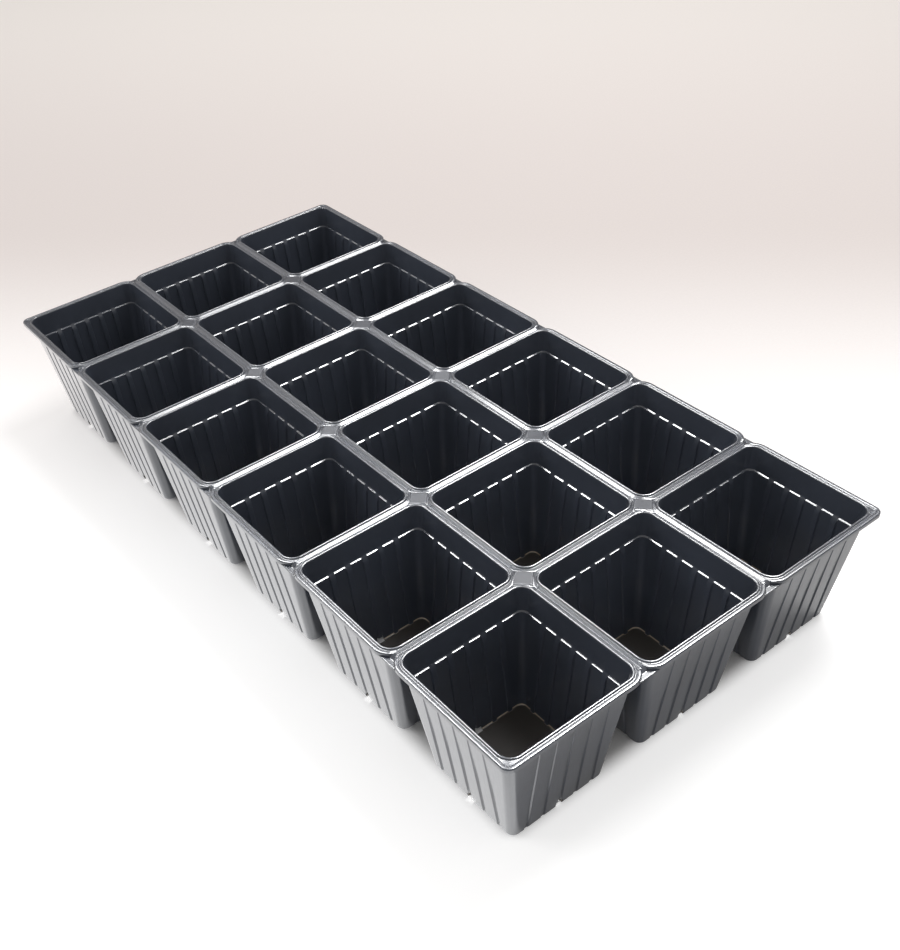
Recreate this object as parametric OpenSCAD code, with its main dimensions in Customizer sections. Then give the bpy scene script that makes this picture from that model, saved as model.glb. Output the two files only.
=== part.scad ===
// Seedling cell insert: square fluted pots in rows, joined at their rims by tear-off webs.
// Millimetres, +Z up. The origin is on the ground, under the middle of the whole insert.

/* [Layout] */
// Pots along the short side
columns = 3; // [1:1:4]
// Pots along the long side
rows = 6; // [1:1:8]
// Distance from the middle of one pot to the middle of the next
pitch = 88; // [88:0.5:96]

/* [Pot] */
// Height from the ground to the top of the lip
pot_h = 77; // [60:1:100]
// Clear width of the mouth, inside the lip
mouth_w = 80.5; // [79:0.5:81]
// Radius of the mouth's corners
mouth_r = 6.75; // [6:0.25:9]
// Width across the base, between the flutes
base_w = 62.6; // [58:0.2:66]
// Radius of the corners from the base to the ledge
corner_r = 4.75; // [4:0.25:6]
// Width of the rolled edge round the base
base_edge = 1.3; // [1.3:0.1:1.6]
// Thickness of the formed sheet
sheet = 0.6; // [0.5:0.05:0.8]

/* [Collar] */
// Height of the plain band above the ledge
collar_h = 15; // [12:1:20]
// Clear width of the plain band at the ledge
collar_w = 78; // [76.5:0.5:78.5]
// Width of the ledge that the soil plug sits on
ledge_w = 1.4; // [1.2:0.1:2]

/* [Flutes] */
// Flutes in each wall, with a drain slot through the foot of the middle one
flutes = 5; // [1:2:5]
// Distance from one flute to the next
flute_pitch = 11; // [9:0.5:11.5]
// Width of a flute at the ledge
flute_top_w = 2.9; // [2.4:0.1:3.6]
// Depth of a flute at the ledge
flute_top_d = 1.1; // [0.8:0.1:1.4]
// Width of a flute at the base
flute_base_w = 2.3; // [2:0.1:2.8]
// Depth of a flute at the base
flute_base_d = 0.85; // [0.6:0.05:0.85]
// Height above the ledge at which a flute has run out into the plain band
flute_run = 8; // [5:1:9]

/* [Rim] */
// Radius of the rolled lip round the mouth
lip_r = 0.8; // [0.7:0.05:1]
// Width of the outer rim, from the mouth to its edge
rim_w = 4.65; // [4.4:0.05:6]
// Width of the raised band along the outer edge
band_w = 2.5; // [2:0.1:2.6]
// Height of the raised band
band_h = 0.5; // [0.3:0.05:0.6]
// Depth of the skirt below the outer rim
skirt_h = 2.2; // [1.5:0.1:4]
// Radius of the insert's own four corners
tray_r = 5; // [4:0.25:6]

/* [Webs] */
// Width of the tear-off web between two pots
web_w = 3.6; // [3:0.1:3.8]
// Depth of the valley down the middle of the web
valley = 0.9; // [0.5:0.1:1.2]
// How far the web lies below the rim where four pots meet
web_drop = 0.4; // [0.2:0.1:0.6]
// Width of the raised pad where four pots meet
pad_w = 9.3; // [7:0.1:9.5]
// Height of the raised pad
pad_h = 0.5; // [0.3:0.1:0.8]

/* [Drainage] */
// Width of a drain slot
slot_w = 4.5; // [4:0.5:6]
// Height of a drain slot in the wall
slot_h = 4; // [2.5:0.5:6]
// How far a drain slot runs in under the floor
slot_in = 3; // [2:0.5:6]

/* [Hidden] */
$fn = 48;
plastic = "#26282b";
over = 1;

rim_z = pot_h - lip_r;
ledge_z = pot_h - collar_h;

// Half widths from a pot's middle, out to the inner skin unless named outer
mouth_half = mouth_w / 2;
collar_half = collar_w / 2;
body_half = collar_half - ledge_w;
base_outer_half = base_w / 2;
body_outer_half = body_half + sheet;

// Below the ledge every corner is a round bar that leans with the two walls beside it
body_slope = (body_outer_half - base_outer_half) / ledge_z;
wall_stretch = sqrt(1 + body_slope * body_slope);
corner_axis = base_outer_half - corner_r;
// The bars stand this far proud, so that the walls trim them
corner_proud = 0.05;

// Above the ledge every corner is a cone about an upright line
collar_axis = mouth_half - mouth_r;

// A flute's floor rises beside the wall, then leans out faster and runs out above the ledge
flute_base_x = base_outer_half - flute_base_d;
flute_top_x = body_outer_half - flute_top_d;
collar_slope = (mouth_half - collar_half) / (rim_z - ledge_z);
run_out_x = collar_half + sheet + flute_run * collar_slope;
run_out_slope = (run_out_x - flute_top_x) / flute_run;
function flute_x(z) = flute_base_x + (flute_top_x - flute_base_x) * z / ledge_z;
function flute_half(z) = (flute_base_w + (flute_top_w - flute_base_w) * z / ledge_z) / 2;

// The rolled base edge is a bevel that trims the wall's foot
edge_slope = 1.05;
edge_z = 2.5;
edge_skin = sheet * sqrt(1 + edge_slope * edge_slope);

rim_half = mouth_half + rim_w;
web_half = (pitch - web_w) / 2;
skirt_z = rim_z - skirt_h;
web_z = rim_z - web_drop;
// Shift of the inner skin along a half bend of 45 degrees
mitre = sheet * tan(22.5);

notch_r = rim_half - collar_axis;
notch_half = pitch / 2 - collar_axis;
// Where the round rim of a pot at the edge meets the web beside it
notch_end = collar_axis + sqrt(notch_r * notch_r - pow(web_half - collar_axis, 2));

function pot_name(row, column) = str("pot_r", row, "_c", column);
function cross_web_name(row) = str("cross_web_", row);
function long_web_name(column) = str("long_web_", column);
function pot_x(column) = (column - (columns + 1) / 2) * pitch;
function pot_y(row) = (row - (rows + 1) / 2) * pitch;

// Wedge between two leaning planes, from the ground to the ledge
module leaning_slab(low, high) {
    rotate([90, 0, 0])
        linear_extrude(4 * high, center = true)
            polygon([[-low, 0], [low, 0], [high, ledge_z], [-high, ledge_z]]);
}

// Block between four leaning planes, of half width low on the ground and high at the ledge
module leaning_square(low, high) {
    intersection() {
        leaning_slab(low, high);
        rotate([0, 0, 90])
            leaning_slab(low, high);
    }
}

// Square block whose corners are cones about upright lines
module drafted_block(axis, low, high, z0, z1) {
    for (x = [-axis, axis])
        for (y = [-axis, axis])
            translate([x, y, z0])
                cylinder(h = z1 - z0, r1 = low - axis, r2 = high - axis);
    for (turn = [0, 90])
        rotate([90, 0, turn])
            linear_extrude(2 * axis, center = true)
                polygon([[-low, z0], [low, z0], [high, z1], [-high, z1]]);
}

// The body's walls from the ground to the ledge, drawn in by skin from the outer face
module body_block(skin) {
    low = base_outer_half - skin;
    high = body_outer_half - skin;
    bevel_low = (low + corner_axis) / sqrt(2);
    bar_r = (corner_r - skin) / wall_stretch + corner_proud;
    intersection() {
        leaning_square(low, high);
        union() {
            rotate([0, 0, 45])
                leaning_square(bevel_low, bevel_low + sqrt(2) * body_slope * ledge_z);
            for (turn = [0:90:270])
                rotate([0, 0, turn])
                    translate([corner_axis, corner_axis, 0])
                        rotate([0, atan(sqrt(2) * body_slope), 45])
                            translate([0, 0, -over])
                                cylinder(h = ledge_z + 4 * over, r = bar_r);
        }
    }
}

// The body with its rolled base edge
module body(skin, floor_z, edge_half) {
    intersection() {
        body_block(skin);
        union() {
            drafted_block(
                corner_axis,
                edge_half + edge_slope * floor_z,
                edge_half + edge_slope * edge_z,
                floor_z,
                edge_z
            );
            translate([-pitch, -pitch, edge_z])
                cube([2 * pitch, 2 * pitch, ledge_z - edge_z]);
        }
    }
}

// The plain band, drawn out by skin from the inner face, with the ledge's underside at its foot
module collar(skin) {
    drafted_block(collar_axis, collar_half + skin, mouth_half + skin, ledge_z - skin, rim_z);
}

// What the flutes take from the outside, or leave standing on the inside, of all four walls
module flute_bars(skin) {
    top = ledge_z + flute_run + over;
    for (turn = [0:90:270])
        rotate([0, 0, turn])
            intersection() {
                rotate([90, 0, 0])
                    linear_extrude(pitch, center = true)
                        polygon([
                            [flute_x(-over) - skin, -over],
                            [flute_top_x - skin, ledge_z],
                            [run_out_x + over * run_out_slope - skin, top],
                            [pitch, top],
                            [pitch, -over]
                        ]);
                for (k = [-(flutes - 1) / 2:(flutes - 1) / 2])
                    translate([0, k * flute_pitch, 0])
                        rotate([90, 0, 90])
                            linear_extrude(2 * pitch)
                                polygon([
                                    [-flute_half(-over) - skin, -over],
                                    [flute_half(-over) + skin, -over],
                                    [flute_half(top) + skin, top],
                                    [-flute_half(top) - skin, top]
                                ]);
            }
}

// Rim section, outward from the corner axis: rolled lip, then a flat to the given reach
module lip_section(reach) {
    intersection() {
        translate([mouth_r + lip_r, rim_z])
            circle(r = lip_r);
        translate([mouth_r, rim_z - sheet])
            square([2 * lip_r, sheet + lip_r]);
    }
    translate([mouth_r + sheet / 2, rim_z - sheet])
        square([reach - mouth_r - sheet / 2, sheet]);
}

// Raised band and skirt of an outer side, with their edge at the given reach
module band_section(reach) {
    foot = reach - band_w;
    top = rim_z + band_h;
    polygon([
        [foot, rim_z],
        [foot + band_h, top],
        [reach - band_h, top],
        [reach, rim_z],
        [reach, skirt_z],
        [reach - sheet, skirt_z],
        [reach - sheet, rim_z - mitre],
        [reach - band_h - mitre, top - sheet],
        [foot + band_h + mitre, top - sheet],
        [foot + mitre, rim_z - sheet]
    ]);
}

module rim_section(outer) {
    if (outer) {
        lip_section(notch_r - band_w + mitre);
        band_section(notch_r);
    } else {
        lip_section(web_half - collar_axis);
    }
}

// One quarter of a square with a round corner
module corner_plan(reach, r) {
    square([reach, reach - r]);
    square([reach - r, reach]);
    translate([reach - r, reach - r])
        circle(r = r);
}

// Rim at one of the insert's own four corners, where the band turns more tightly than the lip
module tray_corner() {
    tray_axis = notch_r - tray_r;
    rotate_extrude(angle = 90)
        lip_section(mouth_r + 2 * lip_r);
    translate([0, 0, rim_z - sheet])
        linear_extrude(sheet)
            difference() {
                corner_plan(notch_r - band_w + mitre, tray_r - band_w + mitre);
                circle(r = mouth_r + lip_r);
            }
    translate([tray_axis, tray_axis, 0])
        rotate_extrude(angle = 90)
            band_section(tray_r);
    translate([0, tray_axis, 0])
        rotate([90, 0, 0])
            linear_extrude(tray_axis)
                band_section(notch_r);
    rotate([90, 0, 90])
        linear_extrude(tray_axis)
            band_section(notch_r);
}

// The rim round one pot. Sides run +X, +Y, -X, -Y, and edge[k] says that side k faces outwards.
module rim(edge) {
    for (k = [0:3]) {
        next = edge[(k + 1) % 4];
        rotate([0, 0, 90 * k]) {
            translate([collar_axis, 0, 0])
                rotate([90, 0, 0])
                    linear_extrude(2 * collar_axis, center = true)
                        rim_section(edge[k]);
            translate([collar_axis, collar_axis, 0])
                if (edge[k] && next)
                    tray_corner();
                else
                    rotate_extrude(angle = 90)
                        rim_section(edge[k] || next);
        }
    }
}

// Slots through the foot of the middle flute in each wall
module drain_slots() {
    for (turn = [0:90:270])
        rotate([0, 0, turn])
            translate([base_outer_half - slot_in, -slot_w / 2, -over])
                cube([slot_in + 3 * over, slot_w, slot_h + over]);
}

module pot(row, column) {
    edge = [column == columns, row == rows, column == 1, row == 1];
    reach = [for (k = [0:3]) edge[k] ? rim_half + over : web_half];
    edge_half = base_outer_half - base_edge;
    color(plastic)
        translate([pot_x(column), pot_y(row), 0])
            intersection() {
                difference() {
                    union() {
                        difference() {
                            union() {
                                body(0, 0, edge_half);
                                collar(sheet);
                            }
                            flute_bars(0);
                        }
                        rim(edge);
                    }
                    difference() {
                        union() {
                            body(sheet, sheet, edge_half - edge_skin);
                            collar(0);
                        }
                        flute_bars(sheet);
                    }
                    drain_slots();
                }
                translate([-reach[2], -reach[3], 0])
                    cube([reach[0] + reach[2], reach[1] + reach[3], pot_h]);
            }
}

// Strip of web between two pots: a shallow valley that tears along its bottom
module web_strip(length) {
    half = web_w / 2;
    translate([0, length / 2, rim_z])
        rotate([90, 0, 0])
            linear_extrude(length)
                polygon([
                    [-half, 0],
                    [0, -valley],
                    [half, 0],
                    [half, -sheet],
                    [0, -valley - sheet],
                    [-half, -sheet]
                ]);
}

// Web where four pots meet: a plate hollowed by their round rims, with a raised pad set cornerwise
module web_star() {
    difference() {
        translate([0, 0, web_z - sheet / 2])
            cube([2 * notch_half, 2 * notch_half, sheet], center = true);
        for (x = [-notch_half, notch_half])
            for (y = [-notch_half, notch_half])
                translate([x, y, 0])
                    cylinder(h = pot_h, r = web_half - collar_axis);
    }
    translate([0, 0, web_z])
        rotate([0, 0, 45])
            translate([-pad_w / 2, -pad_w / 2, 0])
                cube([pad_w, pad_w, pad_h]);
}

// Web's end in the notch between two outer pots, along +Y from their middle line
module web_end() {
    translate([0, (collar_axis - over + notch_end) / 2, 0])
        web_strip(notch_end - collar_axis + over);
    difference() {
        union() {
            translate([-web_w / 2, notch_end - sheet, skirt_z])
                cube([web_w, sheet, web_z - skirt_z]);
            translate([-notch_half, notch_end, skirt_z])
                cube([2 * notch_half, rim_half - sheet - notch_end, sheet]);
        }
        for (x = [-notch_half, notch_half])
            translate([x, collar_axis, 0])
                cylinder(h = pot_h, r = notch_r);
    }
}

// Web between one row of pots and the next, from edge to edge
module cross_web(row) {
    color(plastic)
        translate([0, pot_y(row) + pitch / 2, 0]) {
            for (column = [1:columns])
                translate([pot_x(column), 0, 0])
                    rotate([0, 0, 90])
                        web_strip(2 * collar_axis);
            for (column = [1:1:columns - 1])
                translate([pot_x(column) + pitch / 2, 0, 0])
                    web_star();
            for (side = [-1, 1])
                translate([side * pot_x(columns), 0, 0])
                    rotate([0, 0, -90 * side])
                        web_end();
        }
}

// Web between one column of pots and the next: a strip for each row, and an end at each edge
module long_web(column) {
    color(plastic)
        translate([pot_x(column) + pitch / 2, 0, 0]) {
            for (row = [1:rows])
                translate([0, pot_y(row), 0])
                    web_strip(2 * collar_axis);
            for (turn = [0, 180])
                rotate([0, 0, turn])
                    translate([0, pot_y(rows), 0])
                        web_end();
        }
}

for (row = [1:rows])
    for (column = [1:columns])
        pot(row, column);
for (row = [1:1:rows - 1])
    cross_web(row);
for (column = [1:1:columns - 1])
    long_web(column);
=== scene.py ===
import math

import bmesh
import bpy
import numpy as np
from mathutils import Matrix


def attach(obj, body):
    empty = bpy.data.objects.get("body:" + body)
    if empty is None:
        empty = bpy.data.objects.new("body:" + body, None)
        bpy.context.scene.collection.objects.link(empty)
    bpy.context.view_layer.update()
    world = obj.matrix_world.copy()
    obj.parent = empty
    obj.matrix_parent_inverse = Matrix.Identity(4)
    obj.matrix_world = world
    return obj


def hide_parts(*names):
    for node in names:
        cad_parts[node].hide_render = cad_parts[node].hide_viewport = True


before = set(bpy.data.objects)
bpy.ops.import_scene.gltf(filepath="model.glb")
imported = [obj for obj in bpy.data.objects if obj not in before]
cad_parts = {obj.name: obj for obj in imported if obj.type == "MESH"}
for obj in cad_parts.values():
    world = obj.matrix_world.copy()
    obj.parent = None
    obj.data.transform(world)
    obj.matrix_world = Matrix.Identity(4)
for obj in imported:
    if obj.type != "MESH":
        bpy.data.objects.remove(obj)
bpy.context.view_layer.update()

MM = 0.001

# Layout of the pots, in millimetres, as in the part's source
PITCH = 88.0
COLUMNS, ROWS = 3, 6
SHEET = 0.6

# The ways that the four sides of a pot face: +X, +Y, -X, -Y
SIDES = ((1, 0), (0, 1), (-1, 0), (0, -1))

# Heights above the ground
TOP = 76.995
RIM = 76.2
LEDGE = 62.0
SKIRT = 74.0

# Half widths of a pot, out from its middle: the inner skin of mouth and collar, the outer skin of the base
MOUTH = 40.25
COLLAR_FOOT = 38.6
BASE = 31.3
LEDGE_W = 1.0

# How far walls lean out for each millimetre of height
BODY_LEAN = (COLLAR_FOOT - LEDGE_W + SHEET - BASE) / LEDGE
COLLAR_LEAN = (MOUTH - COLLAR_FOOT) / (RIM - LEDGE)
OUTER_LEAN = (MOUTH + SHEET - BASE) / RIM

# Lines that round corners turn about: the mouth's, the body's at the ground, and the insert's own
MOUTH_AXIS = 33.5
BODY_AXIS = 26.55
INSERT_AXIS = 39.9

# Rims: how far they reach beside a web and on an outer side
WEB_REACH = 42.2
RIM_REACH = 44.9

# Rolled lip, with the last angle of its roll, and the crowned band along an outer side
LIP_R = TOP - RIM
LIP_END = 22.5
LIP_STEPS = 8
BAND_W = 2.5
BAND_H = 0.5
BAND_POWER = 4
BAND_STEPS = 11

# Small rounds: sharp edges, and the turn from a wall into the rim
EDGE_R = 0.1
FILLET = 0.4

# Flutes: places along a wall, (width, depth) at the base and at the ledge. The groove outside runs out under
# the rim, and the ridge inside slopes back to the collar across the ledge
FLUTE_PLACES = (-22.0, -11.0, 0.0, 11.0, 22.0)
FLUTE_FOOT = (2.3, 0.85)
FLUTE_TOP = (2.9, 1.1)
GROOVE_HEIGHTS = (0.0, 30.0, LEDGE, 72.0, SKIRT)
GROOVE_DEPTHS = (0.85, 0.95, 0.38, 0.3, 0.0)
RIDGE_TOP = 58.0
RIDGE_END = 63.5
FLANK_W = 0.6
FLANK_THIN = 0.5
FLANK_STEPS = 5

# Points across a flute, and those on a wall before its middle flute
FLUTE_POINTS = 2 * FLANK_STEPS + 3
BEFORE_MIDDLE = FLUTE_POINTS * (len(FLUTE_PLACES) // 2)

# Corner stations in degrees; the close pairs are where a round outer rim meets the web's plane
CUT = math.degrees(math.asin((WEB_REACH - MOUTH_AXIS) / (RIM_REACH - MOUTH_AXIS)))
CLOSE = 0.05
CORNER_STATIONS = (8, 17, 26, 90 - CUT - CLOSE, 90 - CUT, 45, CUT, CUT + CLOSE, 64, 73, 82)

# Round foot of the walls, and rings on the floor inside it
FOOT_R = 1.6
FOOT_STEPS = 6
FLOOR_RINGS = (6.0, 16.0, 25.0)

# Ledge: its fall, its soft inner edge as points out from the wall and below the edge, the soft outer end
LEDGE_DROP = 0.22
LEDGE_EDGE = ((-0.02, 0.15), (0.02, 0.05), (0.1, 0.0))
LEDGE_END = 0.05

# Heights of the rings on the walls: inside up to the ledge, on the collar, and down the outside
BODY_RINGS = (8.0, 24.0, 42.0, RIDGE_TOP, LEDGE - LEDGE_DROP - 0.5)
COLLAR_RINGS = (LEDGE + 0.3, RIDGE_END, 70.0, RIM - 0.8)
OUTER_RINGS = (RIM - SHEET - FILLET, *reversed(GROOVE_HEIGHTS[2:]), 46.0, GROOVE_HEIGHTS[1], 18.0, 8.0)

# Drain slots, through the foot of the middle flute of each wall
SLOT_TOP = 4.0
SLOT_HALF = 2.25
SLOT_START = 29.6

# Webs: half their width, the valley's depth, and the pad where four pots meet, with the fall of its sides
WEB_HALF = PITCH / 2 - WEB_REACH
VALLEY = 0.9
PAD_TOP = 75.95
PAD_HALF = 4.65
PAD_FALL = 0.9
PAD_BLEND = 0.12

# Points across half a web, along a strip, round a quarter of a star and along an end's gusset
WEB_STEPS = 16
STRIP_POINTS = 4
STAR_STEPS = 32
GUSSET_POINTS = 7
ACROSS = [k / WEB_STEPS for k in range(-WEB_STEPS, WEB_STEPS + 1)]

# A web's end: one ring along its valley, and the length in which the valley drops to the skirt's foot
END_RING = 4.0
END_DROP = 0.5

# Points closer than this are one
POT_WELD = 0.002
WEB_WELD = 0.01

# How strongly a large face holds its own direction against the small ones beside it
FLAT_WEIGHT = 80

# The camera: its place in metres, the way it looks in degrees, its lens
CAMERA_PLACE = (-0.33659, -0.50445, 0.48807)
HEADING = 55.91
DOWN = 40.63
ROLL = 5.2
SENSOR_W = 36
LENS = 44.08
SHIFT = (0.0465, 0.0602)
NEAREST = 0.02
FARTHEST = 20

# Paper sweep in metres: near end, start of the rise, radius of the rise, top, half width
PAPER_NEAR = -3.0
PAPER_RISE = 1.3
PAPER_R = 0.8
PAPER_TOP = 3.0
PAPER_HALF = 4.0
PAPER_STEPS = 12

# The painted shade on the paper, which fades it to grey: the way it runs, level across the picture, from
# where to where in metres, and the share of it at which the paper is painted darkest
FADE_WAY = HEADING - 2 * ROLL
FADE_NEAR = -0.15
FADE_FAR = 1.2
FADE_DARK = 0.41

# The paper's glow: its strength, how far in under the outer pots it starts, how far beside them it is full.
# Short of that the glow is held back, a painted shadow round the feet
PAPER_GLOW = 0.65
UNDER = 8.0
CLEAR = 6.0

# The lamps that draw edges: what they point at, their size, and their spread in degrees
EDGE_TARGET = (0.0, -0.24, 0.07)
EDGE_LAMP_SIZE = (0.5, 0.6)
EDGE_SPREAD = 40

# The room's brightness, as light on the part and as the camera sees it
ROOM_LIGHT = 0.5
ROOM_SEEN = 0.95


def linear(hex_colour):
    """sRGB hex to linear RGBA."""
    parts = [int(hex_colour[i:i + 2], 16) / 255 for i in (1, 3, 5)]
    return tuple(c / 12.92 if c <= 0.04045 else ((c + 0.055) / 1.055) ** 2.4 for c in parts) + (1.0,)


def add(tree, kind, links=None, **settings):
    """Adds a node. A setting names a property or, failing that, an input; links maps inputs to outputs."""
    made = tree.nodes.new(kind)
    for name, value in settings.items():
        if hasattr(made, name):
            setattr(made, name, value)
        else:
            made.inputs[name.replace("_", " ")].default_value = value
    for socket, source in (links or {}).items():
        tree.links.new(source, made.inputs[socket])
    return made


def column_x(column):
    return (column - (COLUMNS + 1) / 2) * PITCH


def row_y(row):
    return (row - (ROWS + 1) / 2) * PITCH


def new_material(name):
    made = bpy.data.materials.new(name)
    made.use_nodes = True
    made.node_tree.nodes.clear()
    return made, made.node_tree


# Materials

def formed_polystyrene():
    """High-impact polystyrene sheet, coloured through with carbon black and vacuum formed.

    The drawn skin is satin: it mirrors pale surroundings softly, with upright streaks from the drawing
    and slow waves where the sheet thinned unevenly."""
    streak_w, streak_h = 1.0, 40.0
    wave_w = 14.0
    wave_h = 0.6
    smear_w = 60.0
    polystyrene_ior = 1.59
    made, tree = new_material("vacuum_formed_black_polystyrene")
    surface = add(tree, "ShaderNodeNewGeometry")
    place = surface.outputs["Position"]
    # Streaks from the drawing of the sheet
    upright = add(tree, "ShaderNodeMapping", {"Vector": place}, Scale=(1.0, 1.0, streak_w / streak_h))
    streaks = add(tree, "ShaderNodeTexNoise", {"Vector": upright.outputs["Vector"]},
                  Scale=1 / (streak_w * MM), Detail=2.0)
    satin = add(tree, "ShaderNodeMapRange", {"Value": streaks.outputs["Fac"]},
                From_Min=0.3, From_Max=0.7, To_Min=0.28, To_Max=0.34)
    # Waves in the drawn sheet
    waves = add(tree, "ShaderNodeTexNoise", {"Vector": place}, Scale=1 / (wave_w * MM), Detail=3.0)
    uneven = add(tree, "ShaderNodeBump", {"Height": waves.outputs["Fac"]},
                 Strength=0.06, Distance=wave_h * MM)
    # Smears of dust and handling
    smears = add(tree, "ShaderNodeTexNoise", {"Vector": place}, Scale=1 / (smear_w * MM), Detail=5.0)
    colour = add(tree, "ShaderNodeValToRGB", {"Fac": smears.outputs["Fac"]})
    colour.color_ramp.elements[0].color = linear("#40454f")
    colour.color_ramp.elements[0].position = 0.35
    colour.color_ramp.elements[1].color = linear("#4c525e")
    colour.color_ramp.elements[1].position = 0.7
    # Painted shade and glint on low faces that look up: the floors are painted dark brown and made matt, and
    # a pale painted glint runs along their round edges
    spot = add(tree, "ShaderNodeSeparateXYZ", {"Vector": place})
    facing = add(tree, "ShaderNodeSeparateXYZ", {"Vector": surface.outputs["Normal"]})
    low = add(tree, "ShaderNodeMapRange", {"Value": spot.outputs["Z"]},
              From_Min=FOOT_R * MM, From_Max=2 * FOOT_R * MM, To_Min=1.0, To_Max=0.0)
    upward = add(tree, "ShaderNodeMapRange", {"Value": facing.outputs["Z"]}, From_Min=0.2, From_Max=0.5)
    share = add(tree, "ShaderNodeMath", {0: low.outputs["Result"], 1: upward.outputs["Result"]},
                operation="MULTIPLY")
    painted_floor_shade_and_glint = add(tree, "ShaderNodeValToRGB", {"Fac": facing.outputs["Z"]})
    painted_floor_shade_and_glint.color_ramp.elements[0].color = linear("#c9b79c")
    painted_floor_shade_and_glint.color_ramp.elements[0].position = 0.6
    painted_floor_shade_and_glint.color_ramp.elements[1].color = linear("#3c3835")
    painted_floor_shade_and_glint.color_ramp.elements[1].position = 0.95
    # Mixes the painted floor shade and the painted glint into the sheet's colour
    with_painted_floor_light = add(tree, "ShaderNodeMixRGB", {
        "Fac": share.outputs["Value"], "Color1": colour.outputs["Color"], "Color2": painted_floor_shade_and_glint.outputs["Color"]})
    flat = add(tree, "ShaderNodeMapRange", {"Value": facing.outputs["Z"]}, From_Min=0.85)
    matt = add(tree, "ShaderNodeMath", {0: low.outputs["Result"], 1: flat.outputs["Result"]},
               operation="MULTIPLY")
    dulled = add(tree, "ShaderNodeMath", {0: satin.outputs["Result"], 1: matt.outputs["Value"]},
                 operation="MAXIMUM")
    gloss = add(tree, "ShaderNodeMapRange", {"Value": matt.outputs["Value"]}, To_Min=1.0, To_Max=0.0)
    skin = add(tree, "ShaderNodeBsdfPrincipled", {
        "Base Color": with_painted_floor_light.outputs["Color"],
        "Roughness": dulled.outputs["Value"],
        "Normal": uneven.outputs["Normal"],
        "Coat Weight": gloss.outputs["Result"],
    }, IOR=polystyrene_ior, Coat_IOR=polystyrene_ior, Coat_Roughness=0.12)
    add(tree, "ShaderNodeOutputMaterial", {"Surface": skin.outputs["BSDF"]})
    return made


def sweep_paper():
    """Uncoated white paper, pressed and unglazed: matt, and it takes the part's shadow. Far back it is
    painted warm grey, a painted shade; round the part's feet its glow is held back as a painted shadow, and
    left of the part it glows in reflections."""
    fleck_w = 2.0
    fade = math.radians(FADE_WAY)
    made, tree = new_material("matt_white_paper")
    place = add(tree, "ShaderNodeNewGeometry").outputs["Position"]
    # Painted shade: the paper's colour fades from white to warm grey far back
    ahead = add(tree, "ShaderNodeVectorMath", {0: place}, operation="DOT_PRODUCT")
    ahead.inputs[1].default_value = (math.cos(fade), math.sin(fade), 0)
    depth = add(tree, "ShaderNodeMapRange", {"Value": ahead.outputs["Value"]},
                From_Min=FADE_NEAR, From_Max=FADE_FAR)
    painted_falloff = add(tree, "ShaderNodeValToRGB", {"Fac": depth.outputs["Result"]})
    painted_falloff.color_ramp.elements[0].color = linear("#f4f4f4")
    painted_falloff.color_ramp.elements[1].color = linear("#c9c4c0")
    painted_falloff.color_ramp.elements.new(FADE_DARK).color = linear("#bab3b0")
    painted_falloff.color_ramp.interpolation = "EASE"
    # Fibre flecks in the paper
    fleck = add(tree, "ShaderNodeTexNoise", {"Vector": place}, Scale=1 / (fleck_w * MM), Detail=2.0)
    fibres = add(tree, "ShaderNodeMapRange", {"Value": fleck.outputs["Fac"]}, To_Min=0.96, To_Max=1.02)
    colour = add(tree, "ShaderNodeVectorMath", {0: painted_falloff.outputs["Color"], 1: fibres.outputs["Result"]},
                 operation="MULTIPLY")
    paper = add(tree, "ShaderNodeBsdfDiffuse", {"Color": colour.outputs["Vector"]})
    # White to the eye up to the part's feet; round and under them the glow is held back as a painted shadow
    spot = add(tree, "ShaderNodeSeparateXYZ", {"Vector": place})
    sizes = add(tree, "ShaderNodeVectorMath", {0: place}, operation="ABSOLUTE")
    beside = add(tree, "ShaderNodeVectorMath", {0: sizes.outputs["Vector"]}, operation="SUBTRACT")
    beside.inputs[1].default_value = (
        (column_x(COLUMNS) + BASE - UNDER) * MM, (row_y(ROWS) + BASE - UNDER) * MM, 0)
    outside = add(tree, "ShaderNodeVectorMath", {0: beside.outputs["Vector"]}, operation="MAXIMUM")
    outside.inputs[1].default_value = (0, 0, 0)
    off = add(tree, "ShaderNodeVectorMath", {0: outside.outputs["Vector"]}, operation="LENGTH")
    clear = add(tree, "ShaderNodeMapRange", {"Value": off.outputs["Value"]}, From_Max=(UNDER + CLEAR) * MM,
                interpolation_type="SMOOTHSTEP")
    # Painted reflection: left of the part the paper also glows in the part's own reflections, which lightens
    # the walls turned left
    left = add(tree, "ShaderNodeMapRange", {"Value": spot.outputs["X"]},
               From_Min=(column_x(1) - BASE + UNDER) * MM, From_Max=(column_x(1) - BASE) * MM)
    rays = add(tree, "ShaderNodeLightPath")
    seen_past_painted_shadow = add(tree, "ShaderNodeMath", {0: rays.outputs["Is Camera Ray"], 1: clear.outputs["Result"]},
               operation="MULTIPLY")
    weaker = add(tree, "ShaderNodeMath", {0: seen_past_painted_shadow.outputs["Value"]}, operation="MULTIPLY")
    weaker.inputs[1].default_value = PAPER_GLOW
    glow = add(tree, "ShaderNodeMath", {
        0: rays.outputs["Is Glossy Ray"], 1: left.outputs["Result"], 2: weaker.outputs["Value"],
    }, operation="MULTIPLY_ADD")
    white = add(tree, "ShaderNodeEmission", {
        "Color": colour.outputs["Vector"], "Strength": glow.outputs["Value"]})
    both = add(tree, "ShaderNodeAddShader", {0: paper.outputs["BSDF"], 1: white.outputs["Emission"]})
    add(tree, "ShaderNodeOutputMaterial", {"Surface": both.outputs["Shader"]})
    return made


# Walls of a pot

def body_wall(z, skin):
    """Half width of the wall below the ledge; skin is how far its face lies in from the outer one."""
    return BASE - skin + BODY_LEAN * z


def body_axis(z):
    return min(BODY_AXIS + BODY_LEAN * z, MOUTH_AXIS)


def outer_wall(z):
    return BASE + OUTER_LEAN * z


def collar_wall(z):
    return COLLAR_FOOT + COLLAR_LEAN * (z - LEDGE)


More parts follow.
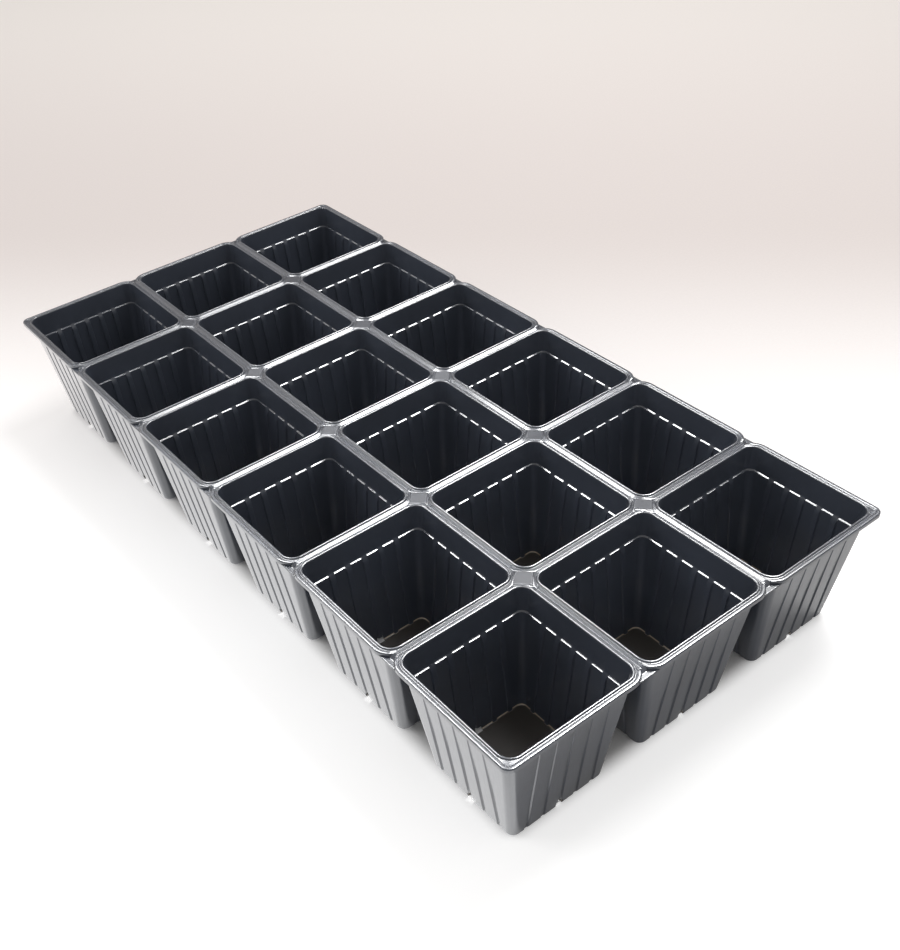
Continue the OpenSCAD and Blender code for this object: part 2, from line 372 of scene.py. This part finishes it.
def flute_floor(z):
    """Half width of the flutes' outer floor below the ledge."""
    foot = BASE - FLUTE_FOOT[1]
    top = body_wall(LEDGE, 0) - FLUTE_TOP[1]
    return foot + (top - foot) * z / LEDGE


def flute_depth(half, z, skin):
    """How far in from a face of that half width the flutes reach."""
    if not skin:
        depth = np.interp(z, GROOVE_HEIGHTS, GROOVE_DEPTHS)
        return np.clip(half - outer_wall(z) + depth, 0, depth)
    if z < RIDGE_TOP:
        return max(half - flute_floor(z) + SHEET, 0)
    if z < RIDGE_END:
        slope = (flute_floor(RIDGE_TOP) - SHEET, collar_wall(RIDGE_END))
        return half - np.interp(z, (RIDGE_TOP, RIDGE_END), slope)
    return 0


def flute_columns(z, skin):
    """Places along a wall, with the share of the flute's depth at each.

    A flute seen from inside is a wider ridge."""
    rise = min(z, GROOVE_HEIGHTS[-1]) / LEDGE
    reach = (FLUTE_FOOT[0] + (FLUTE_TOP[0] - FLUTE_FOOT[0]) * rise) / 2 + skin * FLANK_THIN
    flank = []
    for step in range(FLANK_STEPS + 1):
        t = step / FLANK_STEPS
        flank.append((reach + FLANK_W * (0.5 - t), t * t * (3 - 2 * t)))
    columns = []
    for place in FLUTE_PLACES:
        columns += [(place - out, share) for out, share in flank]
        columns.append((place, 1.0))
        columns += [(place + out, share) for out, share in reversed(flank)]
    return columns


def foot_arc(skin):
    """Round foot of a wall, from the floor up to the wall."""
    stretch = math.hypot(1, BODY_LEAN)
    middle = BASE + BODY_LEAN * FOOT_R - FOOT_R * stretch
    last = math.degrees(math.atan(BODY_LEAN))
    arc = []
    for a in np.radians(np.linspace(-90, -last, FOOT_STEPS)):
        z = FOOT_R + (FOOT_R - skin) * math.sin(a)
        arc.append((middle + (FOOT_R - skin) * math.cos(a), body_axis(z), z, skin))
    return arc


def section():
    """Stations down a pot's skin, from the middle of the floor over the lip to the middle of the base.

    Each is (half width, corner axis, height, skin), with skin 0 on the face turned out or down and SHEET
    on the other. Also gives the first and last station of the drain slots on both faces."""
    floor_rings = [(half, BODY_AXIS * half / SLOT_START) for half in FLOOR_RINGS]
    inside = body_wall(LEDGE, SHEET)
    crest = RIM_REACH - BAND_W / 2
    stations = [(half, axis, SHEET, SHEET) for half, axis in floor_rings]

    def put(half, axis, z, skin):
        stations.append((half, axis, z, skin))

    # Inside: floor, round foot, wall
    foot_first = len(stations)
    put(SLOT_START, BODY_AXIS, SHEET, SHEET)
    stations.extend(foot_arc(SHEET))
    put(body_wall(SLOT_TOP, SHEET), body_axis(SLOT_TOP), SLOT_TOP, SHEET)
    foot_last = len(stations) - 1
    for z in BODY_RINGS:
        put(body_wall(z, SHEET), body_axis(z), z, SHEET)
    # Ledge, which falls inwards, with soft edges
    for out, below in LEDGE_EDGE:
        put(inside + out, body_axis(LEDGE), LEDGE - LEDGE_DROP - below, SHEET)
    put(COLLAR_FOOT - LEDGE_END, MOUTH_AXIS, LEDGE, SHEET)
    # Collar, with the flutes' ends
    for z in COLLAR_RINGS:
        put(collar_wall(z), MOUTH_AXIS, z, SHEET)
    # Rolled lip and the groove beside it
    for a in np.radians(np.linspace(180, LIP_END, LIP_STEPS)):
        put(MOUTH + LIP_R + LIP_R * math.cos(a), MOUTH_AXIS, RIM + LIP_R * math.sin(a), SHEET)
    put(MOUTH + 2 * LIP_R + EDGE_R, MOUTH_AXIS, RIM, SHEET)
    # Crowned band and skirt
    for t in np.sin(np.radians(np.linspace(-90, 90, BAND_STEPS))):
        put(crest + t * BAND_W / 2, MOUTH_AXIS, RIM + BAND_H * (1 - t ** BAND_POWER), SHEET)
    put(RIM_REACH, MOUTH_AXIS, RIM - FILLET, SHEET)
    put(RIM_REACH, MOUTH_AXIS, SKIRT + EDGE_R, SHEET)
    put(RIM_REACH - EDGE_R, MOUTH_AXIS, SKIRT, SHEET)
    # Outside: up the skirt's inner face, back under the band and the lip, down the wall
    put(RIM_REACH - SHEET + EDGE_R, MOUTH_AXIS, SKIRT, 0)
    put(RIM_REACH - SHEET, MOUTH_AXIS, SKIRT + EDGE_R, 0)
    put(RIM_REACH - SHEET, MOUTH_AXIS, RIM - SHEET / 2, 0)
    put(crest + BAND_W / 4, MOUTH_AXIS, RIM + BAND_H - SHEET, 0)
    put(crest - BAND_W / 4, MOUTH_AXIS, RIM + BAND_H - SHEET, 0)
    put(WEB_REACH + SHEET / 2, MOUTH_AXIS, RIM - SHEET, 0)
    put(MOUTH + SHEET + FILLET, MOUTH_AXIS, RIM - SHEET, 0)
    for z in OUTER_RINGS:
        put(outer_wall(z), body_axis(z), z, 0)
    # Round foot and base
    base_first = len(stations)
    put(outer_wall(SLOT_TOP), body_axis(SLOT_TOP), SLOT_TOP, 0)
    stations.extend(reversed(foot_arc(0)))
    put(SLOT_START, BODY_AXIS, 0, 0)
    base_last = len(stations) - 1
    stations += [(half, axis, 0, 0) for half, axis in reversed(floor_rings)]
    return stations, (foot_first, foot_last), (base_first, base_last)


def turned(side, u, v):
    """A point that lies u out and v along on one side of a pot."""
    c, s = SIDES[side]
    return u * c - v * s, u * s + v * c


def ring(station, outer, slotted):
    """One closed loop of points round a pot at a station. outer says which sides face outwards."""
    half, axis, z, skin = station
    on_rim = half > WEB_REACH
    depth = flute_depth(half, z, skin)
    squeeze = min(1.0, axis / BODY_AXIS)
    columns = flute_columns(z, skin)
    if slotted:
        columns[BEFORE_MIDDLE] = (-SLOT_HALF, 0)
        columns[BEFORE_MIDDLE + FLUTE_POINTS - 1] = (SLOT_HALF, 0)
    axes = []
    for side in range(len(SIDES)):
        insert_corner = on_rim and outer[side] and outer[(side + 1) % len(SIDES)]
        axes.append(INSERT_AXIS if insert_corner else axis)
    # Beside a web a rim ends in the web's plane, at the web's height
    web_z = RIM - SHEET + skin
    points = []
    for side in range(len(SIDES)):
        after = (side + 1) % len(SIDES)
        beside_web = on_rim and not outer[side]
        limit = WEB_REACH if beside_web else half
        wall = [(limit, -axes[side - 1])]
        wall += [(limit - depth * share, v * squeeze) for v, share in columns]
        wall.append((limit, axes[side]))
        for u, v in wall:
            points.append((*turned(side, u, v), web_z if beside_web else z))
        between_webs = on_rim and not (outer[side] or outer[after])
        radius = (WEB_REACH if between_webs else half) - axes[side]
        for a in np.radians(CORNER_STATIONS):
            u = axes[side] + radius * math.cos(a)
            v = axes[side] + radius * math.sin(a)
            tucked = between_webs
            if beside_web and u > WEB_REACH:
                u, tucked = WEB_REACH, True
            if on_rim and not outer[after] and v > WEB_REACH:
                v, tucked = WEB_REACH, True
            points.append((*turned(side, u, v), web_z if tucked else z))
    return points


def pot_mesh(name, centre, outer):
    """A pot as one thin closed shell, with a slot through the foot of each middle flute."""
    stations, foot, base = section()
    loops = []
    for level, station in enumerate(stations):
        slotted = foot[0] <= level <= foot[1] or base[0] <= level <= base[1]
        loops.append(ring(station, outer, slotted))
    loops = np.array(loops)
    count = loops.shape[1]
    slots = []
    for side in range(len(SIDES)):
        left = side * count // len(SIDES) + 1 + BEFORE_MIDDLE
        slots.append((left, left + FLUTE_POINTS - 1))
    slot_columns = {column for left, right in slots for column in range(left, right)}
    verts = np.concatenate([loops.reshape(-1, 3), [[0, 0, stations[0][2]], [0, 0, stations[-1][2]]]])
    verts[:, 0] += centre[0]
    verts[:, 1] += centre[1]
    faces = []

    def at(level, column):
        return level * count + column % count

    def quad(first, second, left, right):
        """A face between two levels and two columns."""
        faces.append((at(first, left), at(first, right), at(second, right), at(second, left)))

    for level in range(len(stations) - 1):
        open_level = foot[0] <= level < foot[1] or base[0] <= level < base[1]
        for column in range(count):
            if not (open_level and column in slot_columns):
                quad(level, level + 1, column, column + 1)
    floor_middle, base_middle = len(verts) - 2, len(verts) - 1
    last = len(stations) - 1
    for column in range(count):
        faces.append((floor_middle, at(0, column + 1), at(0, column)))
        faces.append((base_middle, at(last, column), at(last, column + 1)))
    # Cheeks, head and sill of each slot, between the two skins
    for left, right in slots:
        for step in range(foot[1] - foot[0]):
            a, b = foot[0] + step, base[1] - step
            faces.append((at(a, left), at(a + 1, left), at(b - 1, left), at(b, left)))
            faces.append((at(a + 1, right), at(a, right), at(b, right), at(b - 1, right)))
        for column in range(left, right):
            quad(foot[1], base[0], column, column + 1)
            quad(foot[0], base[1], column + 1, column)
    return closed_mesh(name, verts * MM, faces)


def closed_mesh(name, verts, faces):
    """Joins points that lie on each other, turns every face outwards and shades it smooth."""
    mesh = bpy.data.meshes.new(name)
    mesh.from_pydata(verts.tolist(), [], faces)
    work = bmesh.new()
    work.from_mesh(mesh)
    bmesh.ops.remove_doubles(work, verts=work.verts, dist=POT_WELD * MM)
    bmesh.ops.dissolve_degenerate(work, edges=work.edges, dist=POT_WELD * MM)
    bmesh.ops.recalc_face_normals(work, faces=work.faces)
    work.to_mesh(mesh)
    work.free()
    mesh.polygons.foreach_set("use_smooth", [True] * len(mesh.polygons))
    return mesh


# Webs between the pots

def thick_sheet(name, verts, faces):
    """Gives a surface seen from above the sheet's thickness downwards, as one closed shell."""
    mesh = bpy.data.meshes.new(name)
    mesh.from_pydata((np.array(verts) * MM).tolist(), [], faces)
    work = bmesh.new()
    work.from_mesh(mesh)
    bmesh.ops.remove_doubles(work, verts=work.verts, dist=WEB_WELD * MM)
    work.verts.index_update()
    top = np.array([v.co for v in work.verts])
    over = [[v.index for v in f.verts] for f in work.faces]
    edges = [(e.verts[0].index, e.verts[1].index) for e in work.edges if len(e.link_faces) == 1]
    work.free()
    bpy.data.meshes.remove(mesh)
    count = len(top)
    under = top - (0, 0, SHEET * MM)
    closed = over + [[i + count for i in reversed(f)] for f in over]
    closed += [[a, b, b + count, a + count] for a, b in edges]
    return closed_mesh(name, np.concatenate([top, under]), closed)


def grid(rows):
    """Points and faces of a surface given as rows of equally many points."""
    verts = [point for row in rows for point in row]
    width = len(rows[0])
    faces = []
    for r in range(len(rows) - 1):
        for c in range(width - 1):
            a = r * width + c
            faces.append((a, a + 1, a + width + 1, a + width))
    return verts, faces


def joined(surfaces):
    """Several surfaces as one."""
    verts, faces = [], []
    for more_verts, more_faces in surfaces:
        faces += [tuple(i + len(verts) for i in f) for f in more_faces]
        verts += more_verts
    return verts, faces


def web_height(edge, pad=math.inf):
    """Height of the web at a distance from the nearest rim, and from the pad's edge."""
    valley = RIM - VALLEY * min(edge / WEB_HALF, 1.0)
    raised = PAD_TOP - PAD_FALL * max(pad, 0.0)
    gap = max(PAD_BLEND - abs(valley - raised), 0.0) / PAD_BLEND
    return max(valley, raised) + gap * gap * PAD_BLEND / 4


def valley_row(x):
    """Points across the valley of a web that runs along X."""
    return [(x, t * WEB_HALF, web_height(WEB_HALF * (1 - abs(t)))) for t in ACROSS]


def web_strip():
    """A valley along X, between the straight rims of two pots."""
    return grid([valley_row(x) for x in np.linspace(-MOUTH_AXIS, MOUTH_AXIS, STRIP_POINTS)])


def web_star():
    """Web where four pots meet, about the middle of the four: valleys round a raised pad set cornerwise."""
    arm = PITCH / 2 - MOUTH_AXIS
    radius = WEB_REACH - MOUTH_AXIS
    quarters = []
    for quarter in range(len(SIDES)):
        rows = []
        for step in range(STAR_STEPS + 1):
            share = step / STAR_STEPS
            a = math.radians(270 - 90 * share)
            edge_point = np.array((arm + radius * math.cos(a), arm + radius * math.sin(a)))
            along = abs(1 - 2 * share) * arm
            middle = np.array((along, 0.0) if share < 0.5 else (0.0, along))
            row = []
            for part in np.linspace(0, 1, WEB_STEPS + 1):
                x, y = edge_point + (middle - edge_point) * part
                edge = math.hypot(x - arm, y - arm) - radius
                pad = (abs(x) + abs(y)) / math.sqrt(2) - PAD_HALF
                row.append((*turned(quarter, x, y), web_height(edge, pad)))
            rows.append(row)
        quarters.append(grid(rows))
    return joined(quarters)


def web_end():
    """Web's end past the last pots: the valley drops to the skirt's foot and spreads into a gusset."""
    radius = RIM_REACH - MOUTH_AXIS
    arm = PITCH / 2 - MOUTH_AXIS
    notch = MOUTH_AXIS + math.sqrt(radius ** 2 - (WEB_REACH - MOUTH_AXIS) ** 2)
    rows = [valley_row(x) for x in (MOUTH_AXIS, MOUTH_AXIS + END_RING, notch - END_DROP)]
    shelf = SKIRT + SHEET
    for x in np.linspace(notch, RIM_REACH - SHEET, GUSSET_POINTS):
        half = arm - math.sqrt(radius ** 2 - (x - MOUTH_AXIS) ** 2)
        rows.append([(x, t * half, shelf) for t in ACROSS])
    return grid(rows)


def moved(surface, side, x, y):
    """A surface turned to one of the four sides, then shifted."""
    verts, faces = surface
    placed = []
    for u, v, z in verts:
        at_x, at_y = turned(side, u, v)
        placed.append((at_x + x, at_y + y, z))
    return placed, faces


def web_mesh(name, surfaces):
    return thick_sheet(name, *joined(surfaces))


# The part

def put_in_scene(node, mesh, finish):
    """Puts a mesh in the scene in place of one of the part's nodes."""
    made = bpy.data.objects.new(mesh.name, mesh)
    bpy.context.scene.collection.objects.link(made)
    mesh.materials.append(finish)
    flat = made.modifiers.new("flat_faces_stay_flat", "WEIGHTED_NORMAL")
    flat.weight = FLAT_WEIGHT
    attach(made, "root")
    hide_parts(node)


sheet_black = formed_polystyrene()

for row in range(1, ROWS + 1):
    for column in range(1, COLUMNS + 1):
        node = f"pot_r{row}_c{column}"
        outer = (column == COLUMNS, row == ROWS, column == 1, row == 1)
        put_in_scene(node, pot_mesh(f"formed_{node}", (column_x(column), row_y(row)), outer), sheet_black)

for row in range(1, ROWS):
    node = f"cross_web_{row}"
    y = row_y(row) + PITCH / 2
    pieces = [moved(web_strip(), 0, column_x(c), y) for c in range(1, COLUMNS + 1)]
    pieces += [moved(web_star(), 0, column_x(c) + PITCH / 2, y) for c in range(1, COLUMNS)]
    pieces += [moved(web_end(), 0, column_x(COLUMNS), y), moved(web_end(), 2, column_x(1), y)]
    put_in_scene(node, web_mesh(f"formed_{node}", pieces), sheet_black)

for column in range(1, COLUMNS):
    node = f"long_web_{column}"
    x = column_x(column) + PITCH / 2
    pieces = [moved(web_strip(), 1, x, row_y(r)) for r in range(1, ROWS + 1)]
    pieces += [moved(web_end(), 1, x, row_y(ROWS)), moved(web_end(), 3, x, row_y(1))]
    put_in_scene(node, web_mesh(f"formed_{node}", pieces), sheet_black)

# The camera, at the photograph's place
camera_data = bpy.data.cameras.new("camera")
camera = bpy.data.objects.new("camera", camera_data)
bpy.context.scene.collection.objects.link(camera)
camera.matrix_world = (
    Matrix.Translation(CAMERA_PLACE)
    @ Matrix.Rotation(math.radians(HEADING - 90), 4, "Z")
    @ Matrix.Rotation(math.radians(90 - DOWN), 4, "X")
    @ Matrix.Rotation(math.radians(-ROLL), 4, "Z")
)
camera_data.sensor_width = SENSOR_W
camera_data.lens = LENS
camera_data.shift_x, camera_data.shift_y = SHIFT
camera_data.clip_start = NEAREST
camera_data.clip_end = FARTHEST
bpy.context.scene.camera = camera

# The stage: a paper sweep that rises behind the part, square to the camera
profile = [(PAPER_NEAR, 0.0), (PAPER_RISE, 0.0)]
for step in range(1, PAPER_STEPS + 1):
    a = math.radians(step * 90 / PAPER_STEPS)
    profile.append((PAPER_RISE + PAPER_R * math.sin(a), PAPER_R * (1 - math.cos(a))))
profile.append((PAPER_RISE + PAPER_R, PAPER_TOP))
along = np.array((math.cos(math.radians(HEADING)), math.sin(math.radians(HEADING))))
across = np.array((-along[1], along[0]))
paper_rows = []
for out, up in profile:
    paper_rows.append([(*(along * out + across * side), up) for side in (-PAPER_HALF, PAPER_HALF)])
paper_verts, paper_faces = grid(paper_rows)
paper_mesh = bpy.data.meshes.new("paper_sweep")
paper_mesh.from_pydata(paper_verts, [], paper_faces)
paper_mesh.polygons.foreach_set("use_smooth", [True] * len(paper_mesh.polygons))
paper_mesh.materials.append(sweep_paper())
paper = bpy.data.objects.new("paper_sweep", paper_mesh)
bpy.context.scene.collection.objects.link(paper)


# The lights

def softbox(name, place, size, watts, target=(0, 0, 0)):
    """A rectangular lamp that points at a target."""
    lamp = bpy.data.lights.new(name, "AREA")
    lamp.shape = "RECTANGLE"
    lamp.size, lamp.size_y = size
    lamp.energy = watts
    made = bpy.data.objects.new(name, lamp)
    bpy.context.scene.collection.objects.link(made)
    away = np.array(place) - np.array(target)
    away = away / np.linalg.norm(away)
    side = np.cross((0, 0, 1), away)
    side = side / np.linalg.norm(side)
    made.matrix_world = Matrix((side, np.cross(away, side), away)).transposed().to_4x4()
    made.location = place
    return made


def edge_light(name, place, watts):
    """A narrow lamp that shows only as glints, on the rims and ledges of the near rows."""
    made = softbox(name, place, EDGE_LAMP_SIZE, watts, EDGE_TARGET)
    made.visible_diffuse = False
    made.data.spread = math.radians(EDGE_SPREAD)


softbox("key_from_back_left", place=(-1.15, 0.95, 0.85), size=(0.8, 0.8), watts=5.0)
softbox("overhead_right", place=(0.7, 0.1, 1.25), size=(0.6, 0.6), watts=8.5)
softbox("back_wall_glow", place=(0.4, 1.1, 1.2), size=(1.2, 0.8), watts=3.0)
edge_light("edge_light_right", place=(0.6, -0.05, 1.3), watts=2.6)
edge_light("edge_light_back", place=(0.0, 0.5, 1.2), watts=1.4)

# The room: an even half light, which the camera sees as a pale wall
world = bpy.data.worlds.new("room")
bpy.context.scene.world = world
world.use_nodes = True
wall = world.node_tree.nodes["Background"]
wall.inputs["Color"].default_value = linear("#f4f2f0")
eye = add(world.node_tree, "ShaderNodeLightPath")
brightness = add(world.node_tree, "ShaderNodeMapRange", {"Value": eye.outputs["Is Camera Ray"]},
                 To_Min=ROOM_LIGHT, To_Max=ROOM_SEEN)
world.node_tree.links.new(brightness.outputs["Result"], wall.inputs["Strength"])

bpy.context.scene.view_settings.view_transform = "Standard"
